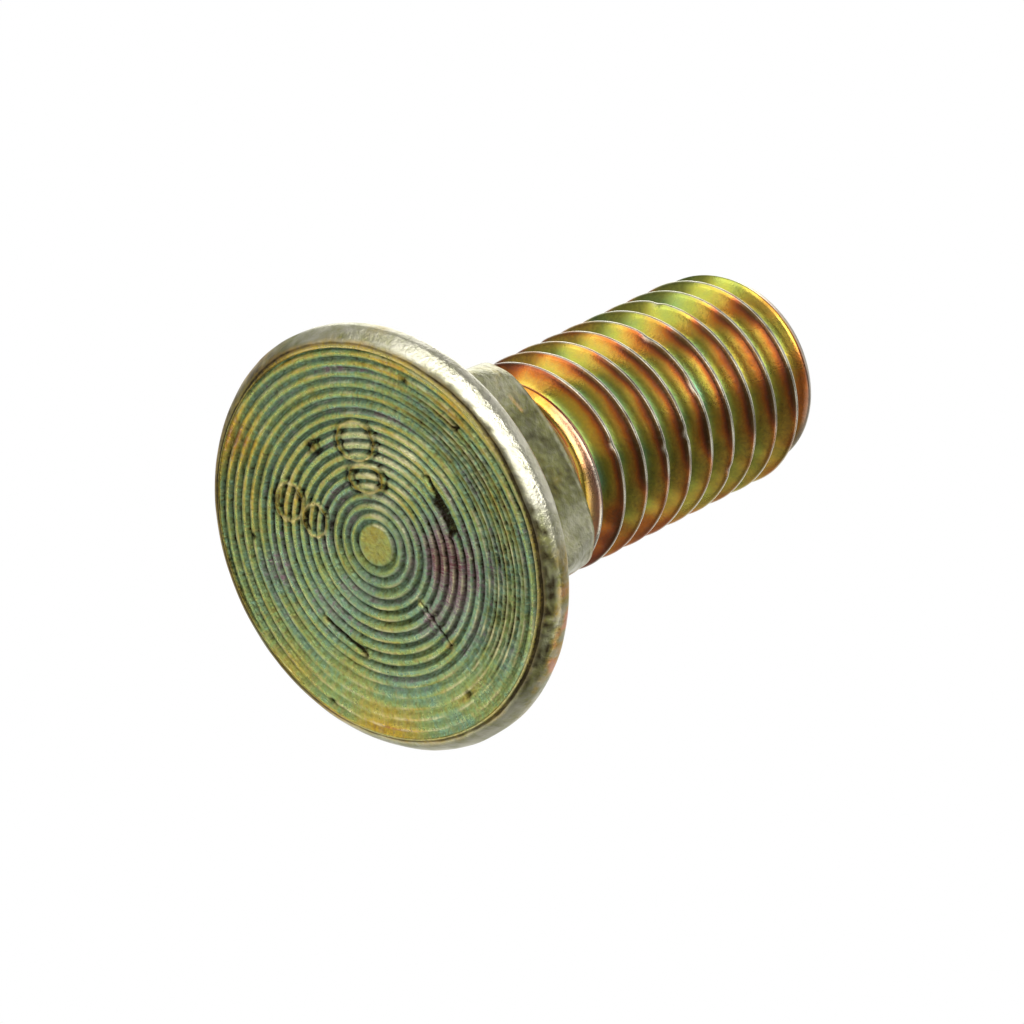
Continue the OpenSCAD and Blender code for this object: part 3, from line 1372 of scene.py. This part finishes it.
        # Painted light near the tip, and painted shade on the middle near the head, in a stripe, on the
        # shaded and lower sides and along the upper edge; the roots are darker
        painted_light = self.painted_light_stretch.at(z) * self.painted_light_sector.at(azimuth)
        near_head = self.head_stretch.at(z) * self.head_sector.at(azimuth) * (1 - early)
        stripe = bell(turn_gap(azimuth, self.stripe_azimuth), self.stripe_width)
        stripe = stripe * self.stripe_stretch.at(z) * self.stripe_flank.at(height)
        shaded = self.shaded_side.at(around) * (0.12 + 0.28 * self.shaded_stretch.at(z))
        shaded = (0.5 * self.lower_side.at(around) + shaded) * (1 - 0.6 * self.under_side.at(around))
        soil = 0.4 * np.clip(self.soil_grain.at(places), 0, 1) + 0.7 * self.upper_edge_side.at(around)
        soil = soil + shaded + 0.18 * self.limb_side.at(around)
        soil = (0.25 * self.root_flank.at(height) + soil * (1 - rubbed)) * (1 - 0.6 * painted_light)
        soil = np.minimum(soil + (0.32 * near_head + 0.5 * stripe) * (1 - rubbed), self.most_soil_and_shade)
        soil = soil * full * (1 - brim) + 0.45 * brim
        return np.clip(wear + 0.8 * brim, 0, 1), np.clip(soil, 0, 1)

    def build(self, skin: Skin, start: np.ndarray, azimuth: np.ndarray) -> None:
        """Adds the thread and the tip to the skin.

        Args:
            skin: The skin to add to.
            start: The ring of points where the run-out starts.
            azimuth: Azimuths of the columns.
        """
        end = skin.add(*self.surface(azimuth, np.full_like(azimuth, self.end_z)))
        per_turn = len(self.rows)
        lead = self.lead(azimuth)
        first_turn = math.floor((self.start_z - self.crest_z) / self.pitch) - 2
        last_turn = math.ceil((self.end_z - self.crest_z) / self.pitch) + 2
        low, high = self.start_z + self.row_clear, self.end_z - self.row_clear
        columns: list[list[tuple[float, int]]] = [[(-math.inf, int(n))] for n in start]
        for turn in range(first_turn, last_turn):
            for place, share in enumerate(self.rows):
                z = self.crest_z + self.pitch * (turn + share + lead)
                inside = np.flatnonzero((z > low) & (z < high))
                numbers = skin.add(*self.surface(azimuth[inside], z[inside]))
                for column, number in zip(inside, numbers):
                    columns[column].append((turn * per_turn + place, int(number)))
        for column, number in zip(columns, end):
            column.append((math.inf, int(number)))
        seam = int(np.argmin(lead))
        for i, column in enumerate(columns):
            j = (i + 1) % len(columns)
            neighbour = columns[j]
            if j == seam:
                neighbour = [(row - per_turn, number) for row, number in neighbour]
            skin.zip(column, neighbour, Zone.THREAD)
        self.build_tip(skin, end, azimuth)

    def build_tip(self, skin: Skin, last: np.ndarray, azimuth: np.ndarray) -> None:
        """Adds the tip's rounded edge and its flat, faintly dished end.

        Args:
            skin: The skin to add to.
            last: The ring of points at the thread's end.
            azimuth: Azimuths of the columns.
        """
        inner_r = float(self.limit(np.array([self.end_z]))[0]) - self.tip_round
        rows = [
            (inner_r + self.tip_round * math.cos(t), self.end_z + self.tip_round * math.sin(t))
            for t in np.radians(self.tip_turns)
        ]
        rows += [
            (share * inner_r, self.length - self.tip_dish * self.tip_dished.at(share))
            for share in np.linspace(*self.tip_shares)
        ]
        level = np.ones_like(azimuth)
        for radius, z in rows:
            places = polar(radius * level, azimuth, z * level)
            rough = self.tip_rough * (self.tip_rough_grain.at(places) - 1)
            places[:, 2] += rough * smooth(places[:, 2], self.end_z, self.length)
            brim = float(radius > inner_r)
            film = self.tip_film + 0.12 * self.tip_film_grain.at(places)
            wear = np.clip(self.tip_wear + 0.6 * brim + 0.3 * self.tip_wear_grain.at(places), 0, 1)
            soil = np.clip(0.45 * brim + 0.4 * self.tip_soil_grain.at(places), 0, 1)
            ring = skin.add(places, film, wear, soil)
            skin.bridge(last, ring, Zone.THREAD)
            last = ring
        middle = np.array([[0.0, 0.0, self.length - self.tip_middle]])
        number = skin.add(middle, np.array([self.tip_film]), np.array([self.tip_wear]), np.zeros(1))
        skin.fan(last, int(number[0]), Zone.THREAD)


@dataclass(frozen=True)
class ChromatedZinc:
    """Yellow chromated zinc plate on forged steel: a thin film whose colour changes with its thickness.

    Args:
        name: Name of the material.
        stops: Film colours by thickness, from thin to thick.
        bare_and_highlight: Colour of the metal where the film is rubbed off, and of painted highlights.
        dark: Colour of the soil and of painted shade in the low places.
        roughness: Roughness of the clean film.
        rough_swing: How far the roughness wanders.
        film_swing: How far the film's thickness wanders within a mottle.
        mottle_mm: Size of the mottling in millimetres.
        grain_mm: Size of the grain that bumps the surface, in millimetres.
        grain_bump: Strength of that bump.
        ray_bump: Strength of the fine lines that run out from the axis.
        wear_and_glint_swing: How far the grain breaks up the worn places and painted highlights.
        soil_and_shade_swing: How far the grain breaks up the soil and painted shade.
        soil_and_shade_rough: How much rougher full soil and painted shade are than the film.
        grain_height: Height of the grain, as a share of its size.
        ray_height_mm: Height of the fine lines in millimetres.
        ray_mm: Length of the fine lines in millimetres.
        ray_cells: Cells of noise to a radian round the axis, which sets how wide the lines are.
        ray_start_mm: Distances from the axis at which the lines start and are full, in millimetres.
        ray_film: Share of the lines' strength by which they change the film.
        ray_wear_and_glints: The same for the wear and painted highlights.
        ray_soil_and_shade: The same for the soil and painted shade.
    """

    name: str
    stops: tuple[tuple[float, str], ...]
    bare_and_highlight: str
    dark: str
    roughness: float
    rough_swing: float
    film_swing: float
    mottle_mm: float
    grain_mm: float
    grain_bump: float
    ray_bump: float
    wear_and_glint_swing: float
    soil_and_shade_swing: float
    soil_and_shade_rough: float = 0.25
    grain_height: float = 0.5
    ray_height_mm: float = 0.03
    ray_mm: float = 0.5
    ray_cells: float = 65.0
    ray_start_mm: tuple[float, float] = (0.7, 1.2)
    ray_film: float = 0.2
    ray_wear_and_glints: float = 0.8
    ray_soil_and_shade: float = 0.4

    def material(self) -> bpy.types.Material:
        """Makes the material.

        Returns:
            The node material.
        """
        made = bpy.data.materials.new(self.name)
        made.use_nodes = True
        tree = made.node_tree
        tree.nodes.clear()
        place = add_node(tree, "ShaderNodeTexCoord").outputs["Object"]
        film, wear, soil = (
            add_node(tree, "ShaderNodeAttribute", {"attribute_name": name}).outputs["Fac"]
            for name in ("film", "wear", "soil")
        )
        mottle = self.noise(tree, place, self.mottle_mm, detail=4.0)
        grain = self.noise(tree, place, self.grain_mm, detail=3.0)
        rays = self.rays(tree, place)
        thickness = self.swing(tree, film, mottle, self.film_swing)
        thickness = self.swing(tree, thickness, rays, self.ray_film * self.ray_bump)
        worn_and_glinting = self.swing(tree, wear, grain, self.wear_and_glint_swing)
        worn_and_glinting = self.swing(tree, worn_and_glinting, rays, self.ray_wear_and_glints * self.ray_bump)
        soiled_and_shaded = self.swing(tree, soil, grain, self.soil_and_shade_swing)
        soiled_and_shaded = self.swing(tree, soiled_and_shaded, rays, self.ray_soil_and_shade * self.ray_bump)
        colour = colour_ramp(tree, thickness, [(position, srgb(code)) for position, code in self.stops])
        colour = mix_colour(tree, worn_and_glinting, colour, srgb(self.bare_and_highlight))
        colour = mix_colour(tree, soiled_and_shaded, colour, srgb(self.dark))
        rough = self.swing(tree, self.roughness, mottle, self.rough_swing)
        rough = multiply_add(tree, soil, self.soil_and_shade_rough, rough, True)
        height = self.grain_mm * self.grain_height * MM
        bump = {"Strength": self.grain_bump, "Distance": height, "Height": grain}
        bump["Normal"] = add_node(tree, "ShaderNodeBump", {}, bump).outputs["Normal"]
        bump.update({"Strength": self.ray_bump, "Distance": self.ray_height_mm * MM, "Height": rays})
        normal = add_node(tree, "ShaderNodeBump", {}, bump).outputs["Normal"]
        inputs = {"Base Color": colour, "Metallic": 1.0, "Roughness": rough, "Normal": normal}
        shader = add_node(tree, "ShaderNodeBsdfPrincipled", {}, inputs)
        add_node(tree, "ShaderNodeOutputMaterial", {}, {"Surface": shader.outputs["BSDF"]})
        return made

    def noise(
        self, tree: bpy.types.NodeTree, place: bpy.types.NodeSocket, size: float, detail: float
    ) -> bpy.types.NodeSocket:
        """A noise value with features of a size in millimetres."""
        inputs = {"Vector": place, "Scale": 1 / (size * MM), "Detail": detail, "Roughness": 0.6}
        return add_node(tree, "ShaderNodeTexNoise", {}, inputs).outputs["Fac"]

    def swing(
        self, tree: bpy.types.NodeTree, value: Any, by: bpy.types.NodeSocket, amount: float
    ) -> bpy.types.NodeSocket:
        """A value moved up and down by a noise value, by up to the amount."""
        centred = add_node(tree, "ShaderNodeMath", {"operation": "SUBTRACT"}, {0: by, 1: 0.5}).outputs[0]
        return multiply_add(tree, centred, 2 * amount, value, True)

    def rays(self, tree: bpy.types.NodeTree, place: bpy.types.NodeSocket) -> bpy.types.NodeSocket:
        """Noise drawn out along the radius, about 0.06 mm wide half way out and 0.5 mm long."""
        flat = vector_math(tree, "MULTIPLY", {0: place, 1: (1.0, 1.0, 0.0)})
        way = vector_math(tree, "NORMALIZE", {0: flat})
        reach = vector_math(tree, "LENGTH", {0: flat})
        level = add_node(tree, "ShaderNodeCombineXYZ", {}, {"Z": reach}).outputs[0]
        spoke = vector_math(tree, "SCALE", {0: way, "Scale": self.ray_cells})
        rise = vector_math(tree, "SCALE", {0: level, "Scale": 1 / (self.ray_mm * MM)})
        where = vector_math(tree, "ADD", {0: spoke, 1: rise})
        inputs = {"Vector": where, "Scale": 1.0, "Detail": 2.0}
        lines = add_node(tree, "ShaderNodeTexNoise", {}, inputs).outputs["Fac"]
        start, full = self.ray_start_mm
        ends = {"Value": reach, "From Min": start * MM, "From Max": full * MM}
        shown = add_node(tree, "ShaderNodeMapRange", {"interpolation_type": "SMOOTHSTEP"}, ends).outputs[0]
        inputs = {0: shown, 2: 0.5, 3: lines}
        return add_node(tree, "ShaderNodeMix", {"data_type": "FLOAT"}, inputs).outputs[0]


# Chromate over the forged face: a muted film, sage green with teal, mauve and gold fields
FACE_FINISH = ChromatedZinc(
    name="chromated_zinc_on_forged_face",
    stops=(
        (0.0, "#744C4E"),
        (0.10, "#8A7678"),
        (0.20, "#7EA080"),
        (0.34, "#94A862"),
        (0.46, "#AEA652"),
        (0.58, "#C6A83E"),
        (0.74, "#AE7A3E"),
        (0.92, "#BC9886"),
    ),
    bare_and_highlight="#E4DCA8",
    dark="#20190C",
    roughness=0.27,
    rough_swing=0.12,
    film_swing=0.12,
    mottle_mm=0.8,
    grain_mm=0.12,
    grain_bump=0.9,
    ray_bump=0.6,
    wear_and_glint_swing=0.35,
    soil_and_shade_swing=0.55,
)

# Zinc rubbed down on the rim and neck: silver grey and olive in a gritty mottle
FORGED_FINISH = ChromatedZinc(
    name="worn_zinc_on_forged_rim_and_neck",
    stops=(
        (0.0, "#86868C"),
        (0.2, "#8A8C74"),
        (0.4, "#8E8E58"),
        (0.58, "#B89A4C"),
        (0.75, "#DC9C6C"),
        (0.95, "#D0A8A0"),
    ),
    bare_and_highlight="#D8D4C0",
    dark="#3A3220",
    roughness=0.34,
    rough_swing=0.12,
    film_swing=0.15,
    mottle_mm=0.6,
    grain_mm=0.16,
    grain_bump=0.5,
    ray_bump=0.0,
    wear_and_glint_swing=0.5,
    soil_and_shade_swing=0.35,
)

# Chromate over the rolled thread: a smooth bright film, green and yellow to red and brown up the flanks
THREAD_FINISH = ChromatedZinc(
    name="chromated_zinc_on_rolled_thread",
    stops=(
        (0.0, "#74A88E"),
        (0.14, "#86A65E"),
        (0.28, "#B4B44A"),
        (0.40, "#D4AE48"),
        (0.52, "#CC7832"),
        (0.62, "#9C5030"),
        (0.73, "#684026"),
        (0.9, "#48341A"),
    ),
    bare_and_highlight="#E4E0CC",
    dark="#2E2410",
    roughness=0.24,
    rough_swing=0.08,
    film_swing=0.12,
    mottle_mm=0.8,
    grain_mm=0.12,
    grain_bump=0.12,
    ray_bump=0.0,
    wear_and_glint_swing=0.12,
    soil_and_shade_swing=0.22,
)


@dataclass
class PlowBolt:
    """The whole bolt as one closed mesh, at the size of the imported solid."""

    head_r: float
    length: float
    thread_r: float

    @classmethod
    def from_frame(cls, frame: dict[str, Any]) -> "PlowBolt":
        """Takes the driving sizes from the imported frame.


        Returns:
            The bolt, in millimetres.
        """
        low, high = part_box(NODE)
        mounts = {mount["name"]: mount for mount in frame["record"]["mounts"]}
        return cls((high[0] - low[0]) / 2 / MM, high[2] / MM, mounts["thread"]["dims"]["r_mm"])

    def build(self) -> bpy.types.Object:
        """Builds the mesh and dresses it.

        Returns:
            The bolt's object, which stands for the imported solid.
        """
        skin = Skin()
        neck = RimAndNeck(self.head_r, self.thread_r)
        face = RingedFace(neck.edge_r)
        edge = face.build(skin)
        LOG.info("face: %d points", skin.count)
        runout = neck.build(skin, edge, face.azimuths())
        LOG.info("rim and neck: %d points", skin.count)
        thread = RolledThread(self.thread_r, neck.blank_r, neck.end_z, self.length)
        thread.build(skin, runout, neck.azimuths())
        LOG.info("thread: %d points", skin.count)
        bolt = bpy.data.objects.new("bolt", skin.mesh("bolt"))
        bpy.context.collection.objects.link(bolt)
        for finish in (FACE_FINISH, FORGED_FINISH, THREAD_FINISH):
            bolt.data.materials.append(finish.material())
        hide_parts(NODE)
        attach(bolt, "root")
        return bolt


@dataclass(frozen=True)
class PhotoCamera:
    """The camera at the photograph's viewing angle. Lengths are in millimetres and angles in degrees.

    Args:
        aim: The point that the middle of the picture shows.
        azimuth: Azimuth of the camera about the bolt's axis.
        elevation: Elevation of the camera: it looks up at the face that the bolt stands on.
        roll: Angle from the top of the picture to the bolt's axis.
        distance: Distance from the aim.
        lens: Focal length on the sensor.
        sensor: Width of the sensor.
    """

    aim: tuple[float, float, float] = (-0.05, 1.04, 6.73)
    azimuth: float = 2.64
    elevation: float = -46.06
    roll: float = 63.89
    distance: float = 241.5
    lens: float = 245.7
    sensor: float = 36.0

    def axes(self) -> Matrix:
        """The camera's right, up and back directions as the columns of a matrix."""
        a, e, r = (math.radians(v) for v in (self.azimuth, self.elevation, self.roll))
        back = Vector((math.cos(e) * math.cos(a), math.cos(e) * math.sin(a), math.sin(e)))
        level_up = (Vector((0, 0, 1)) - back * back.z).normalized()
        level_right = level_up.cross(back)
        up = math.cos(r) * level_up - math.sin(r) * level_right
        right = math.sin(r) * level_up + math.cos(r) * level_right
        return Matrix((right, up, back)).transposed()

    def build(self) -> bpy.types.Object:
        """Makes the camera and sets it as the scene's.

        Returns:
            The camera's object.
        """
        data = bpy.data.cameras.new("photo_camera")
        data.lens = self.lens
        data.sensor_width = self.sensor
        data.clip_start, data.clip_end = 0.01, 10.0
        camera = bpy.data.objects.new("photo_camera", data)
        axes = self.axes()
        place = Vector(self.aim) + axes.col[2] * self.distance
        camera.matrix_world = Matrix.Translation(place * MM) @ axes.to_4x4()
        bpy.context.collection.objects.link(camera)
        bpy.context.scene.camera = camera
        return camera


@dataclass(frozen=True)
class Softbox:
    """A square soft lamp that faces the bolt.

    Args:
        name: The lamp's name.
        way: Direction to the lamp: right, up and back of the photograph's camera, or the bolt's own axes.
        by_camera: Whether the direction is in the camera's axes.
        distance: Distance from the bolt in millimetres.
        size: Width in millimetres.
        power: Power in watts.
        aim_z: Height of the point that it faces, in millimetres.
    """

    name: str
    way: tuple[float, float, float]
    by_camera: bool
    distance: float
    size: float
    power: float
    aim_z: float = 7.0

    def build(self, axes: Matrix) -> bpy.types.Object:
        """Makes the lamp.

        Args:
            axes: The camera's axes.

        Returns:
            The lamp's object.
        """
        data = bpy.data.lights.new(self.name, "AREA")
        data.size = self.size * MM
        data.energy = self.power
        lamp = bpy.data.objects.new(self.name, data)
        way = Vector(self.way).normalized()
        way = axes @ way if self.by_camera else way
        lamp.location = (way * self.distance + Vector((0, 0, self.aim_z))) * MM
        lamp.rotation_mode = "QUATERNION"
        lamp.rotation_quaternion = way.to_track_quat("Z", "Y")
        bpy.context.collection.objects.link(lamp)
        return lamp


@dataclass(frozen=True)
class Studio:
    """A white sweep behind, a dimmer room round it, soft lamps and a pale floor.

    The floor's sizes are in metres. The room gives the level of light by the share of the way from the sweep
    to the front. The matt level is the light that comes from all round to what isn't a mirror.
    """

    floor_width: float = 3.0
    floor_drop: float = 0.0001
    floor_colour: str = "#F2F2F0"
    lamps: tuple[Softbox, ...] = (
        Softbox("key", (-0.87, 0.32, 0.40), True, 250.0, 180.0, 0.125),
        Softbox("fill", (-0.43, -0.19, 0.88), True, 250.0, 140.0, 0.105),
        Softbox("strip_high", (-0.40, 0.83, 0.38), True, 250.0, 200.0, 0.205),
        Softbox("strip_middle", (-0.02, 0.66, 0.75), True, 250.0, 160.0, 0.30),
        Softbox("strip_front", (0.36, 0.14, 0.92), True, 250.0, 150.0, 0.30),
        Softbox("right", (0.88, 0.42, -0.10), True, 250.0, 220.0, 0.10),
        Softbox("low_right", (0.58, -0.66, 0.46), True, 250.0, 200.0, 0.16),
        Softbox("table_left", (-0.89, -0.44, 0.04), True, 250.0, 150.0, 0.112),
        Softbox("table_below", (-0.30, -0.92, 0.26), True, 250.0, 150.0, 0.060),
        Softbox("glint", (-0.89, 0.30, -0.35), False, 250.0, 80.0, 0.040),
        Softbox("overhead", (-0.3, -0.5, 0.8), False, 300.0, 200.0, 0.20),
    )
    room: tuple[tuple[float, float], ...] = (
        (0.0, 1.0),
        (0.05, 1.0),
        (0.15, 0.70),
        (0.30, 0.55),
        (0.37, 0.36),
        (0.46, 0.15),
        (0.75, 0.10),
        (1.0, 0.07),
    )
    matt_level: float = 0.75

    def build(self, axes: Matrix) -> None:
        """Makes the lamps, the world and the floor.

        Args:
            axes: The camera's axes.
        """
        for lamp in self.lamps:
            lamp.build(axes)
        self.light_world(axes.col[2])
        self.lay_floor()
        bpy.context.scene.view_settings.view_transform = "Standard"

    def light_world(self, front: Vector) -> None:
        """Makes the world: white to the camera, and to reflections a white sweep in a dimmer room.

        Args:
            front: Direction from the bolt to the front of the studio, opposite the sweep.
        """
        world = bpy.data.worlds.new("studio")
        bpy.context.scene.world = world
        world.use_nodes = True
        tree = world.node_tree
        tree.nodes.clear()
        way = add_node(tree, "ShaderNodeTexCoord").outputs["Generated"]
        facing = vector_math(tree, "DOT_PRODUCT", {0: way, 1: front})
        share = multiply_add(tree, facing, 0.5, 0.5, False)
        seen = colour_ramp(tree, share, [(position, self.grey(level)) for position, level in self.room])
        path = add_node(tree, "ShaderNodeLightPath")
        seen = mix_colour(tree, path.outputs["Is Glossy Ray"], self.grey(self.matt_level), seen)
        seen = mix_colour(tree, path.outputs["Is Camera Ray"], seen, self.grey(1.0))
        light = add_node(tree, "ShaderNodeBackground", {}, {"Color": seen, "Strength": 1.0})
        add_node(tree, "ShaderNodeOutputWorld", {}, {"Surface": light.outputs[0]})

    def grey(self, level: float) -> tuple[float, float, float, float]:
        """A linear grey of a level, opaque."""
        return (level, level, level, 1.0)

    def lay_floor(self) -> None:
        """Lays the floor under the head. Seen from below it is clear, so that the face can be looked at."""
        half = self.floor_width / 2
        corners = [(x * half, y * half, -self.floor_drop) for x, y in ((-1, -1), (1, -1), (1, 1), (-1, 1))]
        mesh = bpy.data.meshes.new("floor")
        mesh.from_pydata(corners, [], [(0, 1, 2, 3)])
        floor = bpy.data.objects.new("floor", mesh)
        bpy.context.collection.objects.link(floor)
        made = bpy.data.materials.new("matt_white_sweep")
        made.use_nodes = True
        tree = made.node_tree
        tree.nodes.clear()
        matt = add_node(tree, "ShaderNodeBsdfDiffuse", {}, {"Color": srgb(self.floor_colour)})
        clear = add_node(tree, "ShaderNodeBsdfTransparent")
        back = add_node(tree, "ShaderNodeNewGeometry").outputs["Backfacing"]
        shown = add_node(tree, "ShaderNodeMixShader", {}, {0: back, 1: matt.outputs[0], 2: clear.outputs[0]})
        add_node(tree, "ShaderNodeOutputMaterial", {}, {"Surface": shown.outputs[0]})
        mesh.materials.append(made)
        floor.visible_shadow = False
        floor.visible_glossy = False
        floor.visible_diffuse = False


def main() -> None:
    """Builds the bolt, the camera and the studio, and logs the counts of points and faces."""
    logging.basicConfig(level=logging.INFO, format="%(name)s: %(message)s")
    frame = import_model()
    bolt = PlowBolt.from_frame(frame).build()
    LOG.info("bolt: %d faces", len(bolt.data.polygons))
    camera = PhotoCamera()
    camera.build()
    Studio().build(camera.axes())
    bpy.context.view_layer.update()


if __name__ == "__main__":
    main()
